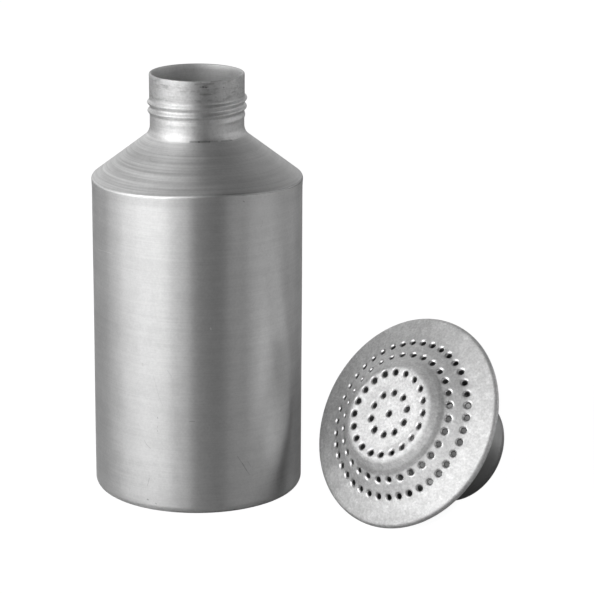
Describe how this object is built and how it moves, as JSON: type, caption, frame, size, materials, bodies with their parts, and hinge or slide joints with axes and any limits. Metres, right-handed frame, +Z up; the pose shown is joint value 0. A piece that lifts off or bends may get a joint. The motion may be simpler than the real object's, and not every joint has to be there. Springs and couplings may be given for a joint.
{
  "type": "shaker bottle",
  "caption": "Round metal bottle with a screw neck and its perforated sprinkler head, which is off the bottle and lies beside it.",
  "frame": {"origin": "middle of the bottle's base, on the surface that it stands on", "axes": "+Z up along the bottle's axis, out of its mouth; the head lies on the +X side, towards -Y"},
  "size_m": [0.1565, 0.111, 0.1619],
  "materials": {
    "bottle_metal": "bare, with fine turning lines and a soft satin shine",
    "face_metal": "bare, matte and slightly mottled",
    "funnel_metal": "bare, spun, with fine turning lines",
    "ring_metal": "bare, turned"
  },
  "bodies": {
    "bottle": {"bottle": "bottle_metal"},
    "head": {"face_plate": "face_metal", "funnel": "funnel_metal", "thread_ring": "ring_metal"}
  },
  "joints": [
    {"name": "head_lift", "type": "slide", "parent": "bottle", "child": "head", "axis": [0, 0, 1], "range_m": [0, 0.18]}
  ]
}
